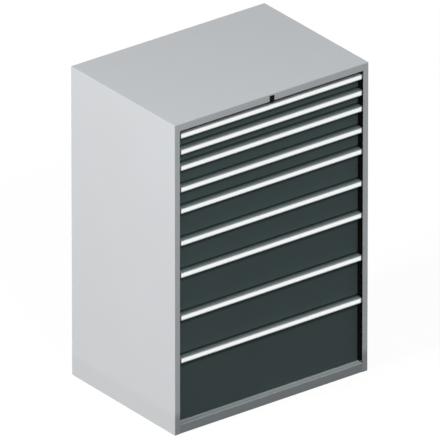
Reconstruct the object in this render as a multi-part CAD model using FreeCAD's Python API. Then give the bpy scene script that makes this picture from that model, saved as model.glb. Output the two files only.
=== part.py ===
import FreeCAD, Part
import math
import os

# Drawer cabinet in folded sheet steel: nine full-extension drawers between slotted posts, with a central lock.
# Millimetres. X runs along the front, the front faces -Y, Z is up, the origin is the middle of the footprint.

# Housing
cabinet_width = 1023.0
cabinet_depth = 725.0
sheet = 1.5
bend = 1.5
front_strip = 27.5
rear_flange = 20.0
back_foot = 3.0
top_flange = 18.0
top_edge_bevel = 1.0

# Front heights from the top drawer down, and the room above the first and below the last
front_heights = [75.0, 75.0, 100.0, 100.0, 150.0, 150.0, 200.0, 200.0, 300.0]
head_room = 48.5
foot_room = 51.5
cabinet_height = head_room + sum(front_heights) + foot_room

# Top rail with its lock
rail_height = 34.0
rail_flange = 48.0
rail_lip = 18.0

# Base
base_height = 43.0
plinth_ledge = 20.0
plinth_lip = 18.0
base_flange = 70.0
anchor_hole = 13.0
anchor_inset_x = 46.0
anchor_inset_y = 56.0

# Slotted posts
post_width = 25.0
post_depth = 44.0
front_post_setback = 22.0
slot_pitch = 50.0
slot_width = 4.4
slot_height = 14.0
slot_inset = 10.0

# Drawer fronts
front_recess = 30.0
front_thickness = 15.0
front_sheet = 1.25
front_edge_bevel = 1.5
front_side_gap = 4.0
front_gap = 7.5
last_front_gap = 3.0
front_side_lip = 32.0
front_edge_lip = 16.0

# Handle profile, with its label channel and end caps
handle_height = 21.5
handle_setback = 1.0
handle_wall = 2.0
handle_flange_drop = 16.0
grip_lip = 7.0
grip_round = 0.9
channel_depth = 1.6
channel_lip = 0.8
channel_lip_height = 3.0
handle_cap = 6.5
handle_side_gap = 2.5
label_thickness = 0.8
label_play = 0.25

# Drawer boxes
drawer_sheet = 1.25
runner_space = 24.5
rear_space = 65.5
box_bottom_gap = 2.0
box_top_gap = 12.0
box_hem = 10.0

# Roller slides
drawer_travel = 640.0
channel_height = 28.0
channel_reach = 10.5
channel_sheet = 1.5
channel_rise = 17.0
channel_start_gap = 2.0
nose_height = 18.0
carriage_plate = 2.5
carriage_height = 24.0
carriage_setback = 3.0
carriage_length = 592.0
roller_play = 0.3
roller_inset = 14.0
roller_sides = 10
tab_height = 12.0
tab_width = 3.4
tab_reach = 4.0
tab_hook = 3.0

# Lock in the top rail
lock_drop = 4.5
lock_plate_width = 24.0
lock_plate_height = 30.0
lock_plate_thickness = 2.0
lock_plate_bevel = 2.5
lock_body_width = 20.0
lock_body_height = 20.0
lock_body_length = 31.0
clamp_width = 32.0
clamp_height = 18.0
clamp_thickness = 3.0
cylinder_diameter = 16.0
cylinder_play = 0.06
shank_side = 7.0
shank_play = 0.1
key_slot_width = 1.6
key_slot_height = 9.0
key_slot_depth = 8.0

# Lock drive: lever, sliding rod with a ramp slot, and the lifting bar with its hooks
cam_thickness = 3.0
cam_play = 0.3
cam_boss = 7.5
lever_radius = 9.0
pin_diameter = 5.0
pin_play = 0.4
pin_end = 1.5
rod_gap = 2.0
rod_thickness = 3.0
rod_height = 16.0
rod_overhang = 8.0
ramp_head = 20.0
ramp_inset = 11.0
bar_travel = 10.0
bar_thickness = 3.0
bar_width = 20.0
bar_front = 40.0
bar_foot_gap = 5.0
bar_web_gap = 2.5
hook_height = 8.0
hook_thickness = 4.0
hook_reach = 22.0
hook_setback = 2.5
hook_rise = 15.5
hook_play = 0.8
striker_gap = 2.0
striker_height = 9.0
striker_play = 1.0
striker_reach = 21.5
striker_foot = 20.0
striker_thickness = 3.0
guide_play = 0.3
guide_wall = 2.0
guide_height = 12.0
guide_rise = 12.0
drawers_per_guide = 3
hanger_width = 12.0
hanger_spots = [120.0, 390.0]

half_width = cabinet_width / 2
front_plane = -cabinet_depth / 2
back_plane = cabinet_depth / 2
roof_under = cabinet_height - sheet
post_face = half_width - sheet - post_width
box_half = post_face - runner_space
opening_half = half_width - front_strip
drawer_count = len(front_heights)
post_top = cabinet_height - head_room
front_back = front_plane + front_recess + front_thickness
box_back = back_plane - rear_space
rear_post_back = back_plane - 2 * sheet


def point(plane, u, v, w=0.0):
    """A point from its place in a section plane (xy, yz or xz) and its distance along the run."""
    if plane == "xy":
        return FreeCAD.Vector(u, v, w)
    if plane == "yz":
        return FreeCAD.Vector(w, u, v)
    return FreeCAD.Vector(u, w, v)


def along(plane, length):
    """The run's direction and length for a section plane."""
    return point(plane, 0.0, 0.0, length)


def box(x0, x1, y0, y1, z0, z1):
    """A block between two corners, given in any order."""
    low = FreeCAD.Vector(min(x0, x1), min(y0, y1), min(z0, z1))
    return Part.makeBox(abs(x1 - x0), abs(y1 - y0), abs(z1 - z0), low)


def rod_y(radius, x, z, y0, y1):
    """A round bar along the depth."""
    return Part.makeCylinder(radius, y1 - y0, FreeCAD.Vector(x, y0, z), FreeCAD.Vector(0, 1, 0))


def roller(radius, y, z, x0, x1):
    """A wheel turning about the width, drawn with few sides because there are so many of them."""
    turn = 2 * math.pi / roller_sides
    angles = [turn * (i + 0.5) for i in range(roller_sides)]
    rim = [point("yz", y + radius * math.cos(a), z + radius * math.sin(a), x0) for a in angles]
    return Part.Face(Part.makePolygon(rim + rim[:1])).extrude(along("yz", x1 - x0))


def fused(shapes):
    """One solid from overlapping or touching pieces."""
    whole = shapes[0].multiFuse(shapes[1:]) if len(shapes) > 1 else shapes[0]
    return whole.removeSplitter()


def mirrored(shape):
    """The same piece on the other side of the cabinet."""
    return shape.mirror(FreeCAD.Vector(0, 0, 0), FreeCAD.Vector(1, 0, 0))


def unit(a, b):
    length = math.hypot(b[0] - a[0], b[1] - a[1])
    return ((b[0] - a[0]) / length, (b[1] - a[1]) / length)


def rounded_run(points, radii):
    """The corners of an open line with each inner corner replaced by start, middle and end of its arc."""
    run = [points[0]]
    for i in range(1, len(points) - 1):
        corner = points[i]
        if radii[i - 1] == 0:
            run.append(corner)
            continue
        back = unit(corner, points[i - 1])
        ahead = unit(corner, points[i + 1])
        cosine = back[0] * ahead[0] + back[1] * ahead[1]
        half = math.acos(max(-1.0, min(1.0, cosine))) / 2
        reach = radii[i - 1] / math.tan(half)
        middle = (back[0] + ahead[0], back[1] + ahead[1])
        size = math.hypot(middle[0], middle[1])
        out = radii[i - 1] / math.sin(half)
        centre = (corner[0] + middle[0] / size * out, corner[1] + middle[1] / size * out)
        mid = (centre[0] - middle[0] / size * radii[i - 1], centre[1] - middle[1] / size * radii[i - 1])
        start = (corner[0] + back[0] * reach, corner[1] + back[1] * reach)
        end = (corner[0] + ahead[0] * reach, corner[1] + ahead[1] * reach)
        run.append((start, mid, end))
    run.append(points[-1])
    return run


def run_edges(plane, run):
    """Line and arc edges of a rounded run."""
    edges = []
    last = point(plane, *run[0])
    for item in run[1:]:
        if isinstance(item[0], tuple):
            start, mid, end = [point(plane, *p) for p in item]
            edges.append(Part.LineSegment(last, start).toShape())
            edges.append(Part.Arc(start, mid, end).toShape())
            last = end
        else:
            target = point(plane, *item)
            edges.append(Part.LineSegment(last, target).toShape())
            last = target
    return edges


def folded(plane, corners, thickness, radius, start, length):
    """A sheet folded along an outline, lying to the left of it. Every fold has one inner radius, or is sharp at 0."""
    count = len(corners)
    ways = [unit(corners[i], corners[i + 1]) for i in range(count - 1)]
    lefts = [(-w[1], w[0]) for w in ways]
    offset = [(corners[0][0] + lefts[0][0] * thickness, corners[0][1] + lefts[0][1] * thickness)]
    line_radii = []
    offset_radii = []
    for i in range(1, count - 1):
        a, b = lefts[i - 1], lefts[i]
        share = thickness / (1 + a[0] * b[0] + a[1] * b[1])
        offset.append((corners[i][0] + (a[0] + b[0]) * share, corners[i][1] + (a[1] + b[1]) * share))
        turns_left = ways[i - 1][0] * ways[i][1] - ways[i - 1][1] * ways[i][0] > 0
        # A left turn has the sheet on its inside, so the line itself takes the larger radius
        larger = radius + thickness if radius else 0
        line_radii.append(larger if turns_left else radius)
        offset_radii.append(radius if turns_left else larger)
    last = lefts[-1]
    offset.append((corners[-1][0] + last[0] * thickness, corners[-1][1] + last[1] * thickness))
    there = rounded_run(corners, line_radii)
    back = rounded_run(offset[::-1], offset_radii[::-1])
    edges = run_edges(plane, there)
    edges.append(Part.LineSegment(point(plane, *corners[-1]), point(plane, *offset[-1])).toShape())
    edges += run_edges(plane, back)
    edges.append(Part.LineSegment(point(plane, *offset[0]), point(plane, *corners[0])).toShape())
    face = Part.Face(Part.Wire(edges))
    face.translate(along(plane, start))
    return face.extrude(along(plane, length))


def front_edges(block):
    """The four edges round the face of a block that looks to the front."""
    limit = block.BoundBox.YMin + 0.01
    return [edge for edge in block.Edges if edge.BoundBox.YMax < limit]


def save(name, shapes):
    """Writes one node: a single solid, or a group of separate ones."""
    solids = []
    for shape in shapes:
        solids += shape.Solids
    whole = solids[0] if len(solids) == 1 else Part.makeCompound(solids)
    whole.exportStep(os.path.join("parts", name + ".step"))


# Stack of drawers, worked out from the top down
def front_top(number):
    """Height of a drawer's upper edge. Drawers count from 1 at the top."""
    return cabinet_height - head_room - sum(front_heights[: number - 1])


def front_bottom(number):
    if number == drawer_count:
        return base_height + last_front_gap
    return front_top(number + 1) + front_gap


def box_floor(number):
    return front_top(number) - front_heights[number - 1] + front_gap + box_bottom_gap


def box_top(number):
    return front_top(number) - box_top_gap


def slide_centre(number):
    return box_floor(number) + channel_rise


# Housing sheets
def side_panel():
    """Left side: one sheet folded into the front strip, the side and the rear flange, with a flange for the top."""
    plan = [
        (-half_width + rear_flange, back_plane),
        (-half_width, back_plane),
        (-half_width, front_plane),
        (-opening_half, front_plane),
    ]
    wall = folded("xy", plan, sheet, bend, 0.0, roof_under)
    relief = sheet + bend
    flange = box(
        -half_width + sheet / 2,
        -half_width + top_flange,
        front_plane + relief,
        back_plane - relief,
        roof_under - sheet,
        roof_under,
    )
    return fused([wall, flange])


def back_panel():
    """Flat sheet against the side panels' rear flanges, clear of the rounding inside the folds."""
    inner = half_width - sheet - bend
    return box(-inner, inner, back_plane - 2 * sheet, back_plane - sheet, back_foot, roof_under)


def top_panel():
    plate = box(-half_width, half_width, front_plane, back_plane, roof_under, cabinet_height)
    upper = [edge for edge in plate.Edges if edge.BoundBox.ZMin > cabinet_height - 0.01]
    return plate.makeChamfer(top_edge_bevel, upper)


def top_rail():
    """Front rail folded to a channel; the lock looks through a window in it."""
    low = cabinet_height - rail_height
    section = [
        (front_plane + rail_flange, roof_under),
        (front_plane, roof_under),
        (front_plane, low),
        (front_plane + rail_lip, low),
    ]
    rail = folded("yz", section, sheet, bend, -opening_half, 2 * opening_half)
    window = box(
        -lock_body_width / 2,
        lock_body_width / 2,
        front_plane - sheet,
        front_plane + 2 * sheet,
        lock_height - lock_body_height / 2,
        lock_height + lock_body_height / 2,
    )
    return rail.cut(window)


def plinth_rail():
    """Front of the base: ledge, face and a lip on the floor."""
    section = [
        (front_plane + plinth_ledge, base_height),
        (front_plane, base_height),
        (front_plane, 0.0),
        (front_plane + plinth_lip, 0.0),
    ]
    return folded("yz", section, sheet, bend, -opening_half, 2 * opening_half)


def base_tray():
    """Floor of the cabinet: an inverted tray with a flange on the ground that takes the anchor bolts."""
    half = half_width - sheet
    rear = back_plane - 2 * sheet
    start = front_plane + plinth_ledge
    outer = box(-half, half, start, rear, 0.0, base_height)
    hollow = box(-half + sheet, half - sheet, start - sheet, rear - sheet, sheet, base_height - sheet)
    mouth = box(-half + base_flange, half - base_flange, start - sheet, rear - base_flange, -sheet, sheet)
    tray = outer.cut(hollow).cut(mouth)
    for x in (-half_width + anchor_inset_x, half_width - anchor_inset_x):
        for y in (front_plane + anchor_inset_y, back_plane - anchor_inset_y):
            hole = Part.makeCylinder(anchor_hole / 2, 3 * sheet, FreeCAD.Vector(x, y, -sheet))
            tray = tray.cut(hole)
    return tray


# Slotted posts
def slot_heights():
    """Every slide's height, with more slots at the pitch between one slide and the next above it."""
    heights = []
    for number in range(1, drawer_count + 1):
        limit = slide_centre(number - 1) if number > 1 else post_top - slot_height
        z = slide_centre(number)
        while z < limit - slot_pitch / 2:
            heights.append(z)
            z += slot_pitch
    return heights


def post(front, back, slot_y):
    """Right-hand post: a channel with its web towards the drawers and its mouth against the side."""
    outer = half_width - sheet
    section = [(outer, back), (post_face, back), (post_face, front), (outer, front)]
    body = folded("xy", section, sheet, 0, base_height, post_top - base_height)
    slots = []
    for z in slot_heights():
        slots.append(
            box(
                post_face - sheet,
                post_face + 2 * sheet,
                slot_y - slot_width / 2,
                slot_y + slot_width / 2,
                z - slot_height / 2,
                z + slot_height / 2,
            )
        )
    return body.cut(Part.makeCompound(slots))


front_post_front = front_plane + front_post_setback
front_post_back = front_post_front + post_depth
front_slot_y = front_post_front + slot_inset
rear_post_front = rear_post_back - post_depth
rear_slot_y = rear_post_front + slot_inset + slot_width


def hook_windows():
    """Openings in the front left post through which the bar's hooks reach."""
    cuts = []
    for number in range(1, drawer_count + 1):
        low = slide_centre(number) + hook_rise
        cuts.append(
            box(
                -post_face - 2 * sheet,
                -post_face + sheet,
                hook_front - hook_play,
                hook_front + hook_thickness + hook_play,
                low - hook_play,
                low + hook_height + bar_travel + hook_play,
            )
        )
    return Part.makeCompound(cuts)


def slotted_posts():
    right_front = post(front_post_front, front_post_back, front_slot_y)
    right_rear = post(rear_post_front, rear_post_back, rear_slot_y)
    left_front = mirrored(right_front).cut(hook_windows())
    return [left_front, mirrored(right_rear), right_front, right_rear]


# Roller slides, drawn on the right and mirrored
channel_start = front_back + channel_start_gap
cabinet_channel_end = rear_post_back - channel_start_gap


def channel(web_x, tip_x, start, end, centre):
    """A C-section channel: web, and two flanges that the rollers run between."""
    low = centre - channel_height / 2
    high = centre + channel_height / 2
    section = [(tip_x, low), (web_x, low), (web_x, high), (tip_x, high)]
    if web_x > tip_x:
        return folded("xz", section, channel_sheet, 0, start, end - start)
    return folded("xz", section[::-1], channel_sheet, 0, start, end - start)


def cabinet_channel(number):
    """Channel on the posts. Its web runs on in front to the post's slots, and two tabs hook into them."""
    centre = slide_centre(number)
    body = channel(post_face, post_face - channel_reach, channel_start, cabinet_channel_end, centre)
    nose = box(
        post_face - channel_sheet,
        post_face,
        front_slot_y - tab_width,
        channel_start,
        centre - nose_height / 2,
        centre + nose_height / 2,
    )
    pieces = [body, nose]
    for slot_y in (front_slot_y, rear_slot_y):
        reach = post_face + sheet + tab_reach
        pieces.append(
            box(
                post_face - channel_sheet,
                reach,
                slot_y - tab_width / 2,
                slot_y + tab_width / 2,
                centre - tab_height / 2 + tab_hook,
                centre + tab_height / 2,
            )
        )
        pieces.append(
            box(
                post_face + sheet + roller_play,
                reach,
                slot_y - tab_width / 2,
                slot_y + tab_width / 2,
                centre - tab_height / 2 - tab_hook,
                centre + tab_height / 2,
            )
        )
    return fused(pieces)


def drawer_channel(number):
    return channel(box_half, box_half + channel_reach, channel_start, box_back, slide_centre(number))


roller_radius = channel_height / 2 - channel_sheet - roller_play
plate_inner = (post_face + box_half - carriage_plate) / 2
plate_outer = plate_inner + carriage_plate
carriage_start = channel_start + carriage_setback


def carriage(number):
    """Intermediate plate with rollers on both faces: the outer pair runs in the cabinet's channel, the inner in the drawer's."""
    centre = slide_centre(number)
    end = carriage_start + carriage_length
    plate = box(
        plate_inner,
        plate_outer,
        carriage_start,
        end,
        centre - carriage_height / 2,
        centre + carriage_height / 2,
    )
    pieces = [plate]
    outer_end = post_face - channel_sheet - roller_play
    inner_end = box_half + channel_sheet + roller_play
    first_outer = channel_start + drawer_travel / 2 + 2 * roller_inset
    last_inner = box_back - drawer_travel / 2 - roller_inset - roller_radius
    for y in (first_outer, end - roller_inset):
        pieces.append(roller(roller_radius, y, centre, plate_outer, outer_end))
    for y in (carriage_start + roller_inset, last_inner):
        pieces.append(roller(roller_radius, y, centre, inner_end, plate_inner))
    return pieces


# Drawers
def drawer_box(number):
    """Tray of five welded sheets, the sides hemmed, with two channels riveted to it and the striker for the lock."""
    floor = box_floor(number)
    deck = floor + drawer_sheet
    rim = box_top(number)
    inner = box_half - drawer_sheet
    start = front_back + drawer_sheet
    end = box_back - drawer_sheet
    bottom = box(-box_half, box_half, front_back, box_back, floor, deck)
    front_wall = box(-box_half, box_half, front_back, start, deck, rim)
    rear_wall = box(-box_half, box_half, end, box_back, deck, rim)
    wall = box(inner, box_half, start, end, deck, rim)
    hem = box(inner - drawer_sheet, inner, start, end, rim - box_hem, rim)
    side_wall = fused([wall, hem])
    rail = drawer_channel(number)
    tray = [bottom, front_wall, rear_wall, side_wall, mirrored(side_wall)]
    return tray + [rail, mirrored(rail), striker(number)]


def striker(number):
    """Angle on the drawer's left side that a raised hook stands in front of."""
    low = slide_centre(number) + hook_rise + hook_height + striker_gap
    front = hook_front + hook_thickness + striker_play
    high = low + striker_height
    arm = box(-box_half - striker_reach, -box_half, front, front + striker_thickness, low, high)
    foot = box(-box_half - striker_thickness, -box_half, front, front + striker_foot, low, high)
    return fused([arm, foot])


def drawer_front(number):
    """Pan-shaped front: folded edges all round, and lips behind that the box is welded to."""
    half = opening_half - front_side_gap
    low = front_bottom(number)
    high = front_top(number)
    block = box(-half, half, front_plane + front_recess, front_back, low, high)
    block = block.makeChamfer(front_edge_bevel, front_edges(block))
    hollow = box(
        -half + front_sheet,
        half - front_sheet,
        front_plane + front_recess + front_sheet,
        front_back - front_sheet,
        low + front_sheet,
        high - front_sheet,
    )
    hollow = hollow.makeChamfer(front_edge_bevel - front_sheet / 2, front_edges(hollow))
    mouth = box(
        -half + front_side_lip,
        half - front_side_lip,
        front_back - 2 * front_sheet,
        front_back + front_sheet,
        low + front_edge_lip + front_bottom_extra(number),
        high - front_edge_lip,
    )
    return block.cut(hollow).cut(mouth)


def front_bottom_extra(number):
    """The last front reaches below its box, so its lower lip is as much wider."""
    return max(0.0, box_floor(number) - box_bottom_gap - front_bottom(number))


def handle(number):
    """Full-width pull: a label channel in front, a top shelf, a flange on the front and a rounded grip lip below."""
    top = front_top(number)
    low = top - handle_height
    face = front_plane + handle_setback
    wall = face + channel_depth
    rear = front_plane + front_recess
    inner_wall = wall + handle_wall
    half = opening_half - handle_side_gap - handle_cap
    outline = [
        (face, top),
        (rear, top),
        (rear, top - handle_flange_drop),
        (rear - handle_wall, top - handle_flange_drop),
        (rear - handle_wall, top - handle_wall),
        (inner_wall, top - handle_wall),
        (inner_wall, low + handle_wall),
        (inner_wall + grip_lip, low + handle_wall),
        (inner_wall + grip_lip, low),
        (face, low),
        (face, low + channel_lip_height),
        (face + channel_lip, low + channel_lip_height),
        (face + channel_lip, low + handle_wall),
        (wall, low + handle_wall),
        (wall, top - handle_wall),
        (face + channel_lip, top - handle_wall),
        (face + channel_lip, top - channel_lip_height),
        (face, top - channel_lip_height),
        (face, top),
    ]
    wire = Part.makePolygon([point("yz", u, v, -half) for u, v in outline])
    profile = Part.Face(wire).extrude(along("yz", 2 * half))
    rounded = []
    for edge in profile.Edges:
        spot = edge.BoundBox
        if spot.XLength < half:
            continue
        at_shelf = abs(spot.YMin - face) < 0.01 and abs(spot.ZMin - top) < 0.01
        at_grip = abs(spot.YMin - inner_wall - grip_lip) < 0.01
        if at_shelf or at_grip:
            rounded.append(edge)
    profile = profile.makeFillet(grip_round, rounded)
    cap = box(half, half + handle_cap, face, rear, low, top)
    cap = cap.makeChamfer(grip_round, front_edges(cap))
    return [profile, cap, mirrored(cap)]


def label_strip(number):
    """Card strip that slides in the handle's channel."""
    top = front_top(number) - handle_wall - label_play
    low = front_top(number) - handle_height + handle_wall + label_play
    back = front_plane + handle_setback + channel_depth
    half = opening_half - handle_side_gap - handle_cap - label_play
    return box(-half, half, back - label_thickness, back, low, top)


# Central lock
lock_height = cabinet_height - rail_height / 2 - lock_drop
hook_front = front_back + hook_setback
lock_rear = front_plane + lock_body_length
cam_back = lock_rear + cam_play + cam_thickness
rod_front = cam_back + rod_gap
rod_back = rod_front + rod_thickness
pin_offset = lever_radius * math.sin(math.radians(45))
rod_travel = 2 * pin_offset
pin_rest_z = lock_height - pin_offset
rod_low = lock_height - lever_radius - rod_height / 2


def lock_housing():
    """Plate on the rail, body through the window and a clamping flange behind the rail."""
    plate = box(
        -lock_plate_width / 2,
        lock_plate_width / 2,
        front_plane - lock_plate_thickness,
        front_plane,
        lock_height - lock_plate_height / 2,
        lock_height + lock_plate_height / 2,
    )
    corners = [edge for edge in plate.Edges if edge.BoundBox.YLength > lock_plate_thickness / 2]
    plate = plate.makeChamfer(lock_plate_bevel, corners)
    body = box(
        -lock_body_width / 2,
        lock_body_width / 2,
        front_plane,
        lock_rear,
        lock_height - lock_body_height / 2,
        lock_height + lock_body_height / 2,
    )
    clamp = box(
        -clamp_width / 2,
        clamp_width / 2,
        front_plane + sheet,
        front_plane + sheet + clamp_thickness,
        lock_height - clamp_height / 2,
        lock_height + clamp_height / 2,
    )
    bore = rod_y(cylinder_diameter / 2, 0.0, lock_height, front_plane - 2 * lock_plate_thickness, lock_rear + sheet)
    return fused([plate, body, clamp]).cut(bore)


def lock_cylinder():
    """Plug with its key slot in front and a square shank behind."""
    radius = cylinder_diameter / 2 - cylinder_play
    face = front_plane - lock_plate_thickness
    plug = rod_y(radius, 0.0, lock_height, face, lock_rear)
    slot = box(
        -key_slot_width / 2,
        key_slot_width / 2,
        face - sheet,
        face + key_slot_depth,
        lock_height - key_slot_height / 2,
        lock_height + key_slot_height / 2,
    )
    side = shank_side / 2
    shank = box(-side, side, lock_rear, cam_back + sheet / 2, lock_height - side, lock_height + side)
    return fused([plug.cut(slot), shank])


def lock_cam():
    """Lever on the shank, drawn hanging straight down and turned to its rest place; its pin drives the rod."""
    front = cam_back - cam_thickness
    hub = rod_y(cam_boss, 0.0, lock_height, front, cam_back)
    end_z = lock_height - lever_radius
    arm = box(-pin_diameter, pin_diameter, front, cam_back, end_z, lock_height)
    tip = rod_y(pin_diameter, 0.0, end_z, front, cam_back)
    pin = rod_y(pin_diameter / 2, 0.0, end_z, cam_back, rod_back + pin_end)
    lever = fused([hub, arm, tip, pin])
    lever.rotate(FreeCAD.Vector(0, 0, lock_height), FreeCAD.Vector(0, 1, 0), -45)
    side = shank_side / 2 + shank_play
    square = box(-side, side, front - sheet, cam_back + sheet, lock_height - side, lock_height + side)
    return lever.cut(square)


ramp_x = -post_face + ramp_inset
ramp_z = rod_low + pin_diameter


def slot_between(x0, z0, x1, z1, width, y0, y1):
    """A round-ended slot through a plate that lies across the depth."""
    angle = math.degrees(math.atan2(z1 - z0, x1 - x0))
    length = math.hypot(x1 - x0, z1 - z0)
    body = box(0.0, length, y0, y1, -width / 2, width / 2)
    ends = [rod_y(width / 2, 0.0, 0.0, y0, y1), rod_y(width / 2, length, 0.0, y0, y1)]
    shape = fused([body] + ends)
    shape.rotate(FreeCAD.Vector(0, 0, 0), FreeCAD.Vector(0, 1, 0), -angle)
    shape.translate(FreeCAD.Vector(x0, 0, z0))
    return shape


def transfer_rod():
    """Flat rod behind the top rail: an upright slot for the lever's pin and a ramp slot that lifts the bar."""
    left = ramp_x - ramp_inset + pin_play
    right = pin_offset + rod_overhang
    strip = box(left, right, rod_front, rod_back, rod_low, rod_low + rod_height)
    head = box(
        left,
        ramp_x + rod_travel + ramp_inset,
        rod_front,
        rod_back,
        rod_low - pin_diameter,
        rod_low + ramp_head,
    )
    plate = fused([strip, head])
    width = pin_diameter + 2 * pin_play
    low_end = lock_height - lever_radius
    drive = slot_between(
        pin_offset, low_end, pin_offset, pin_rest_z, width + pin_play, rod_front - sheet, rod_back + sheet
    )
    ramp = slot_between(
        ramp_x, ramp_z, ramp_x + rod_travel, ramp_z + bar_travel, width, rod_front - sheet, rod_back + sheet
    )
    return plate.cut(drive).cut(ramp)


bar_inner = -post_face - sheet - bar_web_gap
bar_outer = bar_inner - bar_thickness
bar_y = front_plane + bar_front


def locking_bar():
    """Flat bar inside the front left post, with a riveted hook for each drawer and an ear that holds the ramp pin."""
    foot = base_height + bar_foot_gap
    ear_low = ramp_z - pin_diameter
    ear_high = ramp_z + pin_diameter
    bar = box(bar_outer, bar_inner, bar_y, bar_y + bar_width, foot, ear_high)
    ear = box(bar_inner, ramp_x + pin_diameter, bar_y, bar_y + bar_thickness, ear_low, ear_high)
    pin = rod_y(pin_diameter / 2, ramp_x, ramp_z, rod_front - pin_end, bar_y)
    pieces = [bar, fused([ear, pin])]
    for number in range(1, drawer_count + 1):
        low = slide_centre(number) + hook_rise
        pieces.append(
            box(
                bar_inner,
                bar_inner + hook_reach,
                hook_front,
                hook_front + hook_thickness,
                low,
                low + hook_height,
            )
        )
    return pieces


def bar_guides():
    """Guide blocks on the post for the bar, and hangers under the rail's flange for the rod."""
    pieces = []
    for number in range(drawers_per_guide, drawer_count + 1, drawers_per_guide):
        low = slide_centre(number) + hook_rise + hook_height + bar_travel + guide_rise
        block = box(
            bar_outer - guide_play - guide_wall,
            -post_face - sheet,
            bar_y - guide_play - guide_wall,
            bar_y + bar_width + guide_play + guide_wall,
            low,
            low + guide_height,
        )
        hole = box(
            bar_outer - guide_play,
            bar_inner + guide_play,
            bar_y - guide_play,
            bar_y + bar_width + guide_play,
            low - sheet,
            low + guide_height + sheet,
        )
        pieces.append(block.cut(hole))
    for spot in hanger_spots:
        block = box(
            -spot - hanger_width / 2,
            -spot + hanger_width / 2,
            rod_front - guide_play - guide_wall,
            rod_back + guide_play + guide_wall,
            rod_low - guide_play - guide_wall,
            roof_under - sheet,
        )
        hole = box(
            -spot - hanger_width,
            -spot + hanger_width,
            rod_front - guide_play,
            rod_back + guide_play,
            rod_low - guide_play,
            rod_low + rod_height + guide_play,
        )
        pieces.append(block.cut(hole))
    return pieces


def build():
    os.makedirs("parts", exist_ok=True)
    left = side_panel()
    save("left_side_panel", [left])
    save("right_side_panel", [mirrored(left)])
    save("back_panel", [back_panel()])
    save("top_panel", [top_panel()])
    save("base_tray", [base_tray()])
    save("plinth_rail", [plinth_rail()])
    save("top_rail", [top_rail()])
    save("slotted_posts", slotted_posts())
    channels = []
    for number in range(1, drawer_count + 1):
        right = cabinet_channel(number)
        channels += [mirrored(right), right]
    save("cabinet_channels", channels)
    save("lock_housing", [lock_housing()])
    save("lock_cylinder", [lock_cylinder()])
    save("lock_cam", [lock_cam()])
    save("transfer_rod", [transfer_rod()])
    save("locking_bar", locking_bar())
    save("bar_guides", bar_guides())
    for number in range(1, drawer_count + 1):
        save(f"drawer_box_{number}", drawer_box(number))
        save(f"drawer_front_{number}", [drawer_front(number)])
        save(f"drawer_handle_{number}", handle(number))
        save(f"label_strip_{number}", [label_strip(number)])
        right = carriage(number)
        save(f"roller_carriage_{number}", right + [mirrored(piece) for piece in right])


build()
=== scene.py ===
import bpy
import bmesh
import math
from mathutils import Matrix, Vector


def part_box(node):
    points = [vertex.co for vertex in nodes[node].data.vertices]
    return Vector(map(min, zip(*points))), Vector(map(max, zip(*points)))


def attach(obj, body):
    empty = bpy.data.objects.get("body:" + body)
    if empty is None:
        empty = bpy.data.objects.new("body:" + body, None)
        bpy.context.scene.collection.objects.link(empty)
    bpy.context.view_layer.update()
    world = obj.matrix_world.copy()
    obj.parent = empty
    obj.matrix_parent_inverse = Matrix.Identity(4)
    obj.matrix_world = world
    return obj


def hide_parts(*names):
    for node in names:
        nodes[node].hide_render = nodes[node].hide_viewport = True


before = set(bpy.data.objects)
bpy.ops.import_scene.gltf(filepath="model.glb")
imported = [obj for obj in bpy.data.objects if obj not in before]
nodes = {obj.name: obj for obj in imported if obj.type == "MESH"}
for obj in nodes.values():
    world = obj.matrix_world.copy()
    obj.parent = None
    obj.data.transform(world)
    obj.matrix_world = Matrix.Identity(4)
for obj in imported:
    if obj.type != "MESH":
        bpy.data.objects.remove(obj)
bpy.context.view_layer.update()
drawers = range(1, 10)
print("frame loaded:", len(nodes), "nodes")


# ---- shader helpers ----
def linear(red, green, blue):
    # screen values 0 to 255 turned into the shader's own scale
    def one(value):
        value = value / 255
        return value / 12.92 if value <= 0.04045 else ((value + 0.055) / 1.055) ** 2.4
    return (one(red), one(green), one(blue), 1.0)


def toned(colour, factor, lift=0.0):
    # the same colour, darker or lighter
    return tuple(min(1.0, value * factor + lift) for value in colour[:3]) + (1.0,)


class Wire:
    # a socket that can be used in sums; every sum adds its Math node
    def __init__(self, finish, socket):
        self.finish = finish
        self.socket = socket

    def sums(self, operation, *values):
        return self.finish.node("ShaderNodeMath", {"operation": operation}, dict(enumerate(values)))

    def __add__(self, other): return self.sums("ADD", self, other)
    def __radd__(self, other): return self.sums("ADD", other, self)
    def __sub__(self, other): return self.sums("SUBTRACT", self, other)
    def __rsub__(self, other): return self.sums("SUBTRACT", other, self)
    def __mul__(self, other): return self.sums("MULTIPLY", self, other)
    def __truediv__(self, other): return self.sums("DIVIDE", self, other)
    def __gt__(self, other): return self.sums("GREATER_THAN", self, other)
    def __lt__(self, other): return self.sums("LESS_THAN", self, other)
    def __abs__(self): return self.sums("ABSOLUTE", self)


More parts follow.
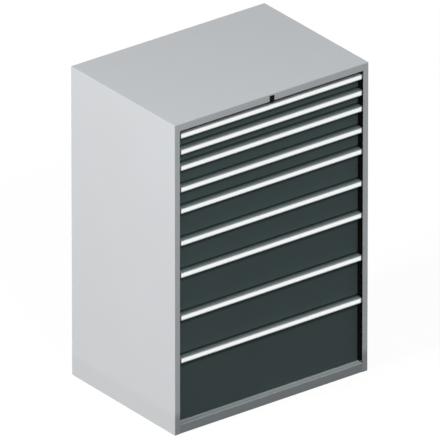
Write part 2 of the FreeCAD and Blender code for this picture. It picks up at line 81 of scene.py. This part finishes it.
class Finish:
    # one material, or the world, being wired up
    def __init__(self, name, owner=None):
        self.owner = owner or bpy.data.materials.new(name)
        self.owner.use_nodes = True
        self.tree = self.owner.node_tree
        self.tree.nodes.clear()

    def node(self, kind, settings=None, sockets=None, out=0):
        made = self.tree.nodes.new(kind)
        for key, value in (settings or {}).items():
            setattr(made, key, value)
        for key, value in (sockets or {}).items():
            if isinstance(value, Wire):
                self.tree.links.new(value.socket, made.inputs[key])
            else:
                made.inputs[key].default_value = value
        return None if out is None else Wire(self, made.outputs[out])

    def place(self):
        # position on the piece, in metres
        return self.node("ShaderNodeTexCoord", out="Object")

    def stretched(self, sizes):
        return self.node("ShaderNodeVectorMath", {"operation": "MULTIPLY"}, {0: self.place(), 1: sizes})

    def axis(self, name):
        return self.node("ShaderNodeSeparateXYZ", {}, {0: self.place()}, out=name)

    def noise(self, where, detail, scale=1.0):
        return self.node("ShaderNodeTexNoise", {}, {"Vector": where, "Scale": scale, "Detail": detail})

    def sway(self, pattern, amount):
        # a pattern from 0 to 1 turned into a swing to both sides of nothing
        return (pattern - 0.5) * amount

    def fade(self, value, low, high):
        # 0 at low, 1 at high, smooth between them
        return self.node("ShaderNodeMapRange", {"interpolation_type": "SMOOTHSTEP"}, {0: value, 1: low, 2: high})

    def blendColour(self, share, first, second):
        return self.node("ShaderNodeMix", {"data_type": "RGBA"}, {0: share, 6: first, 7: second}, out=2)

    def bump(self, height, strength, distance):
        return self.node("ShaderNodeBump", {}, {"Height": height, "Strength": strength, "Distance": distance})

    def seen(self):
        # 1 for rays that show the thing itself, 0 for light that it only bounces
        rays = [self.node("ShaderNodeLightPath", out=name) for name in
                ("Is Camera Ray", "Is Glossy Ray", "Is Transmission Ray")]
        return rays[0] + rays[1] + rays[2] > 0.5

    def surface(self, **sockets):
        named = {key.replace("_", " "): value for key, value in sockets.items()}
        shader = self.node("ShaderNodeBsdfPrincipled", {}, named)
        self.node("ShaderNodeOutputMaterial", {}, {0: shader}, out=None)
        return self.owner


# ---- finishes ----
# colours are screen values from 0 to 255; sizes and places are in metres
powder = {
    "cloudScale": 2.3, "cloudDetail": 4.0, "cloudRange": (0.35, 0.65), "cloudRough": 0.12,
    "clothScale": 34.0, "clothDetail": 3.0, "clothRough": 0.10,
    "grainScale": 900, "grainDetail": 1.0, "grain": 0.0001, "grainStrength": 0.6,
}
# painted shade near the floor: the faces low down are darker, the front faces most
lowShaded = {"lowShadeWave": 0.02, "lowShadeRough": 0.2, "frontDepth": -0.3618}
housingPaint = {
    **powder, **lowShaded, "colour": (202, 204, 206), "shade": 0.985, "roughness": 0.70, "gloss": 0.25,
    # painted shade near the floor, set by the values below
    "lowShadeRange": (0.072, 0.115), "lowShade": (172, 174, 176), "frontShare": 1.0, "sideShare": 0.14,
    # a dark line of dust and painted shade along the back seams
    "seamDustAndShade": (112, 114, 116), "seamX": 0.4915, "seamWide": 0.0016, "seamCore": 0.4, "seamShare": 0.75,
    "backDepth": 0.3605,
}
plinthPaint = {
    **powder, **lowShaded, "colour": (175, 181, 181), "shade": 0.97, "roughness": 0.55, "gloss": 0.25,
    # painted shade on the plinth face near the floor, set by the values below
    "lowShadeRange": (0.038, 0.046), "lowShade": (152, 156, 157), "frontShare": 1.0, "sideShare": 0.0,
}
frontPaint = {**powder, "colour": (76, 89, 88), "shade": 0.95, "roughness": 0.64, "gloss": 0.08}
# near black: painted shade for the dark gap beside the drawers, used on the posts and the channels' front ends
voidShadePaint = {
    **powder, "colour": (10, 10, 11), "shade": 0.9, "roughness": 0.75, "gloss": 0.15,
    "grain": 0.00005, "grainScale": 700,
}


def powderCoat(name, look):
    finish = Finish(name)
    place = finish.place()
    cloud = finish.noise(place, look["cloudDetail"], look["cloudScale"])
    cloth = finish.noise(place, look["clothDetail"], look["clothScale"])
    grain = finish.noise(place, look["grainDetail"], look["grainScale"])
    base = linear(*look["colour"])
    colour = finish.blendColour(finish.fade(cloud, *look["cloudRange"]), toned(base, look["shade"]), base)
    rough = look["roughness"] + finish.sway(cloud, look["cloudRough"]) + finish.sway(cloth, look["clothRough"])
    if "lowShade" in look:
        # painted shade: faces near the floor are darker and a little rougher, the front ones most
        height = finish.axis("Z") + finish.sway(cloth, look["lowShadeWave"])
        low = 1 - finish.fade(height, *look["lowShadeRange"])
        facing = finish.axis("Y") < look["frontDepth"]
        share = low * (facing * (look["frontShare"] - look["sideShare"]) + look["sideShare"])
        colour = finish.blendColour(share, colour, linear(*look["lowShade"]))
        rough = rough + share * look["lowShadeRough"]
    if "seamDustAndShade" in look:
        # dust and painted shade: a dark line in the corner where the back panel meets the side panels' flanges
        away = abs(abs(finish.axis("X")) - look["seamX"])
        line = 1 - finish.fade(away, look["seamWide"] * look["seamCore"], look["seamWide"])
        behind = finish.axis("Y") > look["backDepth"]
        colour = finish.blendColour(line * behind * look["seamShare"], colour, linear(*look["seamDustAndShade"]))
    return finish.surface(
        Base_Color=colour, Roughness=rough, Specular_IOR_Level=look["gloss"],
        Normal=finish.bump(grain, look["grainStrength"], look["grain"]))


# shelf: where the handle's shelf starts and ends along the depth; the painted shade grows from the first to the
# second
aluminium = {
    "barColour": (226, 232, 232), "shelfShade": (150, 160, 159), "shelf": (-0.3615, -0.3325), "metal": 0.6,
    "roughness": 0.45, "lineStretch": (3.0, 1400.0, 1400.0), "lineDetail": 2.0, "lineRough": 0.10,
    "lines": 0.00003, "lineStrength": 0.5,
    "cloudStretch": (6.0, 40.0, 40.0), "cloudDetail": 3.0, "cloudRough": 0.08, "shelfShadeWave": 0.15,
}
# the handle's lowest 3 mm: the same bar in a darker colour, painted shade under the label
gripShadeAluminium = {**aluminium, "barColour": (192, 198, 198)}


def anodised(name, look):
    # extruded bar: faint lines along its length; painted shade darkens the shelf towards its back
    finish = Finish(name)
    lines = finish.noise(finish.stretched(look["lineStretch"]), look["lineDetail"])
    cloud = finish.noise(finish.stretched(look["cloudStretch"]), look["cloudDetail"])
    front, back = look["shelf"]
    depth = (finish.axis("Y") - front) / (back - front) + finish.sway(cloud, look["shelfShadeWave"])
    colour = finish.blendColour(finish.fade(depth, 0.0, 1.0), linear(*look["barColour"]), linear(*look["shelfShade"]))
    rough = look["roughness"] + finish.sway(lines, look["lineRough"]) + finish.sway(cloud, look["cloudRough"])
    return finish.surface(
        Base_Color=colour, Metallic=look["metal"], Roughness=rough,
        Normal=finish.bump(lines, look["lineStrength"], look["lines"]))


labelStrip = {
    "colour": (254, 255, 255), "shade": 0.985, "sheen": 0.90, "roughness": 0.38,
    "fibreStretch": (300.0, 900.0, 900.0), "fibreDetail": 3.0, "fibre": 0.00001, "fibreStrength": 0.3,
    "cloudStretch": (5.0, 20.0, 20.0), "cloudDetail": 2.0, "cloudRough": 0.10,
}


def coverStrip(name, look):
    # pearly white cover strip over the label channel
    finish = Finish(name)
    fibre = finish.noise(finish.stretched(look["fibreStretch"]), look["fibreDetail"])
    cloud = finish.noise(finish.stretched(look["cloudStretch"]), look["cloudDetail"])
    base = linear(*look["colour"])
    return finish.surface(
        Base_Color=finish.blendColour(cloud, toned(base, look["shade"]), base), Metallic=look["sheen"],
        Roughness=look["roughness"] + finish.sway(cloud, look["cloudRough"]),
        Normal=finish.bump(fibre, look["fibreStrength"], look["fibre"]))


zinc = {
    "light": (196, 198, 200), "dark": (158, 160, 164), "roughness": 0.32,
    "patchScale": 260.0, "patchShare": 0.5, "patchRough": 0.10,
    "lineStretch": (900.0, 6.0, 900.0), "lineDetail": 2.0, "lineShare": 0.5, "lineRough": 0.08,
    "lines": 0.00003, "lineStrength": 0.4,
}


def zincPlate(name, look):
    # rolled and plated steel: soft crystal patches and lines along the depth
    finish = Finish(name)
    cells = {"Vector": finish.place(), "Scale": look["patchScale"]}
    patches = finish.node("ShaderNodeTexVoronoi", {"feature": "F1"}, cells, out="Color")
    shade = finish.node("ShaderNodeSeparateColor", {}, {0: patches})
    lines = finish.noise(finish.stretched(look["lineStretch"]), look["lineDetail"])
    share = shade * look["patchShare"] + lines * look["lineShare"]
    rough = look["roughness"] + finish.sway(shade, look["patchRough"]) + finish.sway(lines, look["lineRough"])
    return finish.surface(
        Base_Color=finish.blendColour(share, linear(*look["dark"]), linear(*look["light"])),
        Metallic=1.0, Roughness=rough, Normal=finish.bump(lines, look["lineStrength"], look["lines"]))


plastic = {
    "grainScale": 500.0, "grainDetail": 2.0, "grain": 0.00006, "grainStrength": 0.6, "grainRough": 0.12,
    "cloudScale": 40.0, "cloudDetail": 2.0, "lighter": 1.15, "lift": 0.002,
}
greyPlastic = {**plastic, "colour": (104, 106, 108), "roughness": 0.5, "gloss": 0.4}
rollerPlastic = {**plastic, "colour": (46, 47, 49), "roughness": 0.4, "gloss": 0.5}
blackPlastic = {**plastic, "colour": (5, 5, 6), "roughness": 0.45, "gloss": 0.07}


def moulded(name, look):
    # spark-grained plastic
    finish = Finish(name)
    grain = finish.noise(finish.place(), look["grainDetail"], look["grainScale"])
    cloud = finish.noise(finish.place(), look["cloudDetail"], look["cloudScale"])
    base = linear(*look["colour"])
    return finish.surface(
        Base_Color=finish.blendColour(cloud, base, toned(base, look["lighter"], look["lift"])),
        Roughness=look["roughness"] + finish.sway(grain, look["grainRough"]), Specular_IOR_Level=look["gloss"],
        Normal=finish.bump(grain, look["grainStrength"], look["grain"]))


finishes = {
    "housing": powderCoat("lightGreyPowder", housingPaint),
    "plinth": powderCoat("plinthPowder", plinthPaint),
    "front": powderCoat("anthracitePowder", frontPaint),
    "dark": powderCoat("voidShadePowder", voidShadePaint),
    "aluminium": anodised("anodisedAluminium", aluminium),
    "label": coverStrip("whiteCoverStrip", labelStrip),
    "zinc": zincPlate("zincPlate", zinc),
    "grip": anodised("shadedAluminium", gripShadeAluminium),
    "cap": moulded("greyCap", greyPlastic),
    "roller": moulded("darkRoller", rollerPlastic),
    "black": moulded("blackMoulding", blackPlastic),
}
print("finishes made:", len(finishes))


# ---- finishes onto the pieces from the frame ----
def paint(piece, *looks, chooser=None):
    # the chooser says which look a face takes, from its middle
    piece.data.materials.clear()
    for look in looks:
        piece.data.materials.append(finishes[look])
    for face in piece.data.polygons:
        face.material_index = chooser(face.center) if chooser else 0


# where one look ends and the next starts, for pieces that have more than one
limits = {
    "capStart": 0.47501, "boxSide": 0.46055, "plateIn": 0.4714, "plateOut": 0.4741,
    "noseEnd": -0.3156, "gripRise": 0.0031,
}
for name in ["left_side_panel", "right_side_panel", "back_panel", "top_panel", "base_tray", "top_rail"]:
    paint(nodes[name], "housing")
paint(nodes["plinth_rail"], "plinth")
# painted shade: the posts and the channels' front ends take the near-black finish
paint(nodes["slotted_posts"], "dark")
paint(nodes["cabinet_channels"], "zinc", "dark", chooser=lambda at: int(at.y < limits["noseEnd"]))
for name in ["lock_housing", "lock_cylinder", "bar_guides"]:
    paint(nodes[name], "black")
for name in ["lock_cam", "transfer_rod", "locking_bar"]:
    paint(nodes[name], "zinc")
for number in drawers:
    paint(nodes[f"drawer_front_{number}"], "front")
    paint(
        nodes[f"drawer_box_{number}"], "front", "zinc",
        chooser=lambda at: int(abs(at.x) > limits["boxSide"]))
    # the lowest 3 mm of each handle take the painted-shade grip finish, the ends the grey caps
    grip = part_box(f"drawer_handle_{number}")[0].z + limits["gripRise"]
    paint(
        nodes[f"drawer_handle_{number}"], "aluminium", "cap", "grip",
        chooser=lambda at: 1 if abs(at.x) > limits["capStart"] else 2 if at.z < grip else 0)
    paint(nodes[f"label_strip_{number}"], "label")
    paint(
        nodes[f"roller_carriage_{number}"], "zinc", "roller",
        chooser=lambda at: int(not limits["plateIn"] < abs(at.x) < limits["plateOut"]))
print("frame pieces painted")


# ---- mesh helpers ----
def slab(mesh, section, start, end):
    # a closed outline in X and Z, drawn out along Y
    rings = [[mesh.verts.new((x, y, z)) for x, z in section] for y in (start, end)]
    count = len(section)
    for i in range(count):
        after = (i + 1) % count
        mesh.faces.new((rings[0][i], rings[0][after], rings[1][after], rings[1][i]))
    mesh.faces.new(rings[0][::-1])
    mesh.faces.new(rings[1])


rivetHead = {"steps": 4, "corners": 12}


def dome(mesh, centre, axis, radius, rise):
    # a round rivet head standing on a sheet
    steps, corners = rivetHead["steps"], rivetHead["corners"]
    side = axis.orthogonal().normalized()
    other = axis.cross(side)
    rings = []
    for step in range(steps):
        lean = math.pi / 2 * step / steps
        ring = []
        for corner in range(corners):
            turn = math.tau * corner / corners
            out = side * math.cos(turn) + other * math.sin(turn)
            ring.append(mesh.verts.new(centre + out * radius * math.cos(lean) + axis * rise * math.sin(lean)))
        rings.append(ring)
    tip = mesh.verts.new(centre + axis * rise)
    for low, high in zip(rings, rings[1:]):
        for i in range(corners):
            after = (i + 1) % corners
            mesh.faces.new((low[i], low[after], high[after], high[i]))
    for i in range(corners):
        mesh.faces.new((rings[-1][i], rings[-1][(i + 1) % corners], tip))
    mesh.faces.new(rings[0][::-1])


def cutLine(length, look):
    # places along a sheet where its slots start and stop
    count = int((length - 2 * look["end"]) / look["pitch"]) + 1
    first = (length - (count - 1) * look["pitch"]) / 2
    places = [0.0]
    for number in range(count):
        middle = first + number * look["pitch"]
        places += [middle - look["slot"] / 2, middle + look["slot"] / 2]
    return places + [length]


def punchedSheet(mesh, corner, along, length, height, through, look):
    # an upright sheet with a row of slots in it, made face by face because extruding it
    # gives the faces another order in each run
    across = cutLine(length, look)
    upward = [0.0, look["foot"], height - look["head"], height]
    spots = [[corner + along * s + Vector((0, 0, t)) for t in upward] for s in across]
    grids = [
        [[mesh.verts.new(spot + shift) for spot in column] for column in spots]
        for shift in (Vector(), through)]
    # every second field of the middle row is a slot
    fields = [
        (i, j) for i in range(len(across) - 1) for j in range(len(upward) - 1)
        if not (i % 2 == 1 and j == 1)]
    solid = set(fields)
    for i, j in fields:
        corners = [(i, j), (i + 1, j), (i + 1, j + 1), (i, j + 1)]
        neighbours = [(i, j - 1), (i + 1, j), (i, j + 1), (i - 1, j)]
        near, far = [[grid[a][b] for a, b in corners] for grid in grids]
        mesh.faces.new(near)
        mesh.faces.new(far[::-1])
        for edge, beyond in enumerate(neighbours):
            if beyond not in solid:
                after = (edge + 1) % len(corners)
                mesh.faces.new((near[edge], far[edge], far[after], near[after]))


sharpAngle = 35


def addPiece(name, mesh, body, slot, *looks):
    bmesh.ops.recalc_face_normals(mesh, faces=mesh.faces)
    data = bpy.data.meshes.new(name)
    mesh.to_mesh(data)
    mesh.free()
    data.shade_smooth()
    data.set_sharp_from_angle(angle=math.radians(sharpAngle))
    for look in looks:
        data.materials.append(finishes[look])
    piece = bpy.data.objects.new(name, data)
    bpy.context.scene.collection.objects.link(piece)
    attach(piece, body)
    return piece


# ---- drawer trays with slotted walls ----
tray = {
    "half": 0.4605, "sheet": 0.00125, "hem": 0.010, "hemSteps": 6,
    "pitch": 0.025, "slot": 0.0035, "end": 0.030, "foot": 0.009, "head": 0.008,
    "railFoot": 0.003, "railSlack": 0.0001, "flush": 0.00001, "weld": 0.000001,
    "rivets": 4, "rivetEnd": 0.045, "rivetRadius": 0.0036, "rivetRise": 0.0013, "rivetZ": 0.017,
}


def hemOutline(outer, rim, look):
    # folded-over upper edge of a side wall: two sheets thick with a round top
    wide = 2 * look["sheet"]
    middle = outer - wide / 2
    arc = [math.pi * step / look["hemSteps"] for step in range(look["hemSteps"] + 1)]
    top = [(middle + wide / 2 * math.cos(turn), rim - wide / 2 + wide / 2 * math.sin(turn)) for turn in arc]
    return [(outer, rim - look["hem"])] + top + [(outer - wide, rim - look["hem"])]


def slottedTray(number, look):
    node = nodes[f"drawer_box_{number}"]
    low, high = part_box(f"drawer_box_{number}")
    front, back, floor, rim = low.y, high.y, low.z, high.z
    half, sheet = look["half"], look["sheet"]
    deck = floor + sheet
    body = f"drawer_{number}"

    mesh = bmesh.new()
    slab(mesh, [(-half, floor), (half, floor), (half, deck), (-half, deck)], front, back)
    tall = rim - deck
    for start in (front, back - sheet):
        punchedSheet(
            mesh, Vector((-half, start, deck)), Vector((1, 0, 0)), 2 * half,
            tall, Vector((0, sheet, 0)), look)
    inside = back - front - 2 * sheet
    for side in (-1, 1):
        punchedSheet(
            mesh, Vector((side * half, front + sheet, deck)), Vector((0, 1, 0)), inside,
            tall - look["hem"], Vector((-side * sheet, 0, 0)), look)
        outline = [(side * x, z) for x, z in hemOutline(half, rim, look)]
        slab(mesh, outline, front + sheet, back - sheet)
    piece = addPiece(f"slottedTray{number}", mesh, body, "drawer_paint", "front")
    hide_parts(node.name)

    # the channels and the striker keep the frame's own faces, so only the tray's are taken out
    rails = bmesh.new()
    rails.from_mesh(node.data)
    railLow = floor + look["railFoot"] - look["railSlack"]
    walls = []
    for face in rails.faces:
        lowest = min(vert.co.z for vert in face.verts)
        beside = abs(face.calc_center_median().x) > half - look["flush"]
        if not beside or lowest < railLow:
            walls.append(face)
    bmesh.ops.delete(rails, geom=walls, context="FACES")
    bmesh.ops.remove_doubles(rails, verts=rails.verts, dist=look["weld"])
    addPiece(f"drawerRails{number}", rails, body, "slide_steel", "zinc")

    rivets = bmesh.new()
    start = front + look["rivetEnd"]
    span = back - front - 2 * look["rivetEnd"]
    for side in (-1, 1):
        for spot in range(look["rivets"]):
            y = start + span * spot / (look["rivets"] - 1)
            at = Vector((side * (half - sheet), y, floor + look["rivetZ"]))
            dome(rivets, at, Vector((-side, 0, 0)), look["rivetRadius"], look["rivetRise"])
    addPiece(f"trayRivets{number}", rivets, body, "slide_steel", "zinc")


for number in drawers:
    slottedTray(number, tray)
print("slotted trays made")


# ---- rivets that hold the back panel to the rear posts and the base tray ----
backRivets = {
    "postX": 0.4868, "low": 0.110, "high": 1.400, "rows": 9,
    "footZ": 0.024, "footSpan": 0.430, "footCount": 5, "radius": 0.0044, "rise": 0.0012,
}


def rivetedBack(look):
    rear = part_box("back_panel")[1].y
    step = (look["high"] - look["low"]) / (look["rows"] - 1)
    heights = [look["low"] + step * row for row in range(look["rows"])]
    spots = [(side * look["postX"], z) for side in (-1, 1) for z in heights]
    middle = (look["footCount"] - 1) / 2
    for column in range(look["footCount"]):
        spots.append((look["footSpan"] * (column - middle) / middle, look["footZ"]))
    mesh = bmesh.new()
    for x, z in spots:
        dome(mesh, Vector((x, rear, z)), Vector((0, 1, 0)), look["radius"], look["rise"])
    addPiece("backRivets", mesh, "housing", "slide_steel", "zinc")


rivetedBack(backRivets)
print("back riveted")


# ---- floor, world, lamps and camera ----
studio = {
    "floorSize": 160.0, "floorBounce": (110, 110, 110), "floorWhite": 1.045,
    "paper": (0.9, 0.9, 0.9, 1.0), "shadowShare": 0.12,
    "ambient": 0.24, "sky": (1.0, 1.0, 1.0, 1.0), "lampAim": (0.0, 0.0, 0.7),
}


def studioFloor(look):
    # lights the cabinet as grey ground, and shows itself almost white with a trace of shadow
    finish = Finish("paleFloor")
    seen = finish.seen()
    bounce = finish.node("ShaderNodeBsdfDiffuse", {}, {"Color": linear(*look["floorBounce"])})
    white = finish.node("ShaderNodeEmission", {}, {"Strength": look["floorWhite"]})
    paper = finish.node("ShaderNodeBsdfDiffuse", {}, {"Color": look["paper"]})
    shown = finish.node("ShaderNodeMixShader", {}, {0: look["shadowShare"], 1: white, 2: paper})
    both = finish.node("ShaderNodeMixShader", {}, {0: seen, 1: bounce, 2: shown})
    finish.node("ShaderNodeOutputMaterial", {}, {0: both}, out=None)
    mesh = bpy.data.meshes.new("floor")
    half = look["floorSize"] / 2
    corners = [(-half, -half, 0), (half, -half, 0), (half, half, 0), (-half, half, 0)]
    mesh.from_pydata(corners, [], [(0, 1, 2, 3)])
    floor = bpy.data.objects.new("floor", mesh)
    mesh.materials.append(finish.owner)
    bpy.context.scene.collection.objects.link(floor)


def studioWorld(look):
    # white to look at, dimmer as light on the cabinet
    world = bpy.data.worlds.new("studioWorld")
    bpy.context.scene.world = world
    finish = Finish("studioWorld", world)
    strength = look["ambient"] + finish.seen() * (1 - look["ambient"])
    sky = finish.node("ShaderNodeBackground", {}, {"Color": look["sky"], "Strength": strength})
    finish.node("ShaderNodeOutputWorld", {}, {0: sky}, out=None)


# side: the direction from the aim to the lamp; reach: how far it stands from it
lamps = {
    "keyLamp": {"side": (-0.87, 0.0, 0.36), "reach": 15.0, "size": 3.7, "power": 1810.0, "tint": (1.0, 1.0, 1.0)},
    "frontLamp": {
        "side": (-0.25, -0.70, 0.68), "reach": 9.0, "size": 1.6, "power": 312.0, "tint": (0.93, 0.965, 1.0)},
    "backLamp": {
        "side": (0.45, 0.85, 0.13), "reach": 9.0, "size": 2.5, "power": 260.0, "tint": (0.97, 0.985, 1.0)},
}


def addLamp(name, look, aim):
    lamp = bpy.data.lights.new(name, "AREA")
    lamp.shape = "DISK"
    lamp.size = look["size"]
    lamp.energy = look["power"]
    lamp.color = look["tint"]
    side = Vector(look["side"])
    holder = bpy.data.objects.new(name, lamp)
    holder.visible_camera = False
    holder.location = Vector(aim) + side.normalized() * look["reach"]
    holder.rotation_euler = side.to_track_quat("Z", "Y").to_euler()
    bpy.context.scene.collection.objects.link(holder)


studioFloor(studio)
studioWorld(studio)
for name, look in lamps.items():
    addLamp(name, look, studio["lampAim"])

# the view is nearly parallel, so the lens is very long and stands far off
camera = {
    "azimuth": -37.11, "elevation": 26.14, "frameWidth": 1.858, "lens": 1700.0, "sensor": 36.0,
    "clipEnd": 200.0, "aim": (-0.0001, -0.0017, 0.7201),
}


def addCamera(look):
    data = bpy.data.cameras.new("camera")
    data.lens = look["lens"]
    data.sensor_width = look["sensor"]
    data.clip_end = look["clipEnd"]
    azimuth = math.radians(look["azimuth"])
    elevation = math.radians(look["elevation"])
    level = math.cos(elevation)
    back = Vector((math.sin(azimuth) * level, -math.cos(azimuth) * level, math.sin(elevation)))
    distance = look["frameWidth"] * look["lens"] / look["sensor"]
    holder = bpy.data.objects.new("camera", data)
    holder.location = Vector(look["aim"]) + back * distance
    holder.rotation_mode = "QUATERNION"
    holder.rotation_quaternion = (-back).to_track_quat("-Z", "Y")
    bpy.context.scene.collection.objects.link(holder)
    bpy.context.scene.camera = holder


addCamera(camera)
bpy.context.scene.view_settings.view_transform = "Standard"
print("studio ready")
